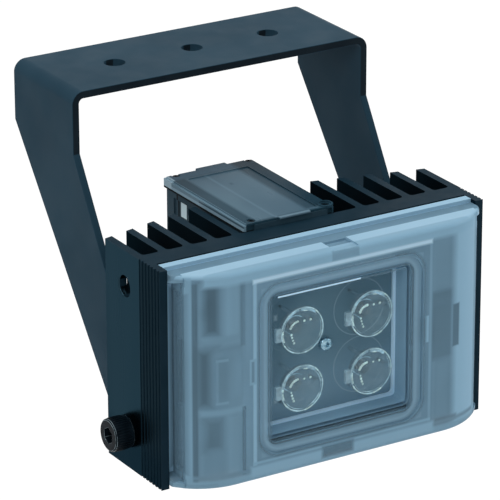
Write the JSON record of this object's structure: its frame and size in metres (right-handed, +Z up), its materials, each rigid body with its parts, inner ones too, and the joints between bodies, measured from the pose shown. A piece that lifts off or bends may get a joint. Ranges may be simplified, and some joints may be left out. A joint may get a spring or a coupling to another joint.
{
  "type": "white light illuminator",
  "caption": "Finned LED flood light with a frosted front cover, a rear driver housing and a tilting U-shaped mounting bracket.",
  "frame": {"origin": "centre of the bracket's middle mounting hole, on the strap's top face", "axes": "+Z up, out of the strap's top face; +X across the lamp, along the row of mounting holes; -Y is the way the lamp shines"},
  "size_m": [0.161, 0.1349, 0.1503],
  "materials": {
    "powder_coat": "fine matt powder coat",
    "anodised": "black satin anodised",
    "black_steel": "black oxide",
    "steel": "zinc plated",
    "nylon": "moulded",
    "frosted_cover": "frosted translucent",
    "seal_rubber": "matt",
    "bare_aluminium": "machined",
    "pad": "matt",
    "board": "solder resist",
    "emitter": "clear over phosphor",
    "clear_lens": "polished",
    "cast_housing": "satin",
    "lid_plastic": "satin, slightly translucent",
    "laminate": "glass laminate",
    "component": "varnished",
    "terminal": "moulded"
  },
  "bodies": {
    "bracket": {"mounting_bracket": "powder_coat", "pivot_screw_left": "black_steel", "pivot_screw_right": "black_steel", "pivot_washer_left": "nylon", "pivot_washer_right": "nylon"},
    "lamp": {"heat_sink": "anodised", "front_cover": "frosted_cover", "cover_gasket": "seal_rubber", "cover_screws": "black_steel", "heat_spreader": "bare_aluminium", "spreader_screws": "steel", "thermal_pad": "pad", "led_board": "board", "board_screw": "steel", "led_upper_left": "emitter", "led_upper_right": "emitter", "led_lower_left": "emitter", "led_lower_right": "emitter", "lens_upper_left": "clear_lens", "lens_upper_right": "clear_lens", "lens_lower_left": "clear_lens", "lens_lower_right": "clear_lens", "driver_housing": "cast_housing", "housing_screws": "steel", "lid_gasket": "seal_rubber", "driver_lid": "lid_plastic", "lid_screws": "black_steel", "driver_board": "laminate", "choke": "component", "capacitors": "component", "transformer": "component", "terminal_block": "terminal", "gland_washer": "seal_rubber", "gland_body": "nylon", "gland_seal": "seal_rubber", "gland_cap": "nylon", "gland_nut": "nylon"}
  },
  "joints": [
    {"name": "lamp_tilt", "type": "hinge", "parent": "bracket", "child": "lamp", "pos_m": [0, -0.0717, -0.1211], "axis": [1, 0, 0], "range_deg": [-30, 90]}
  ]
}
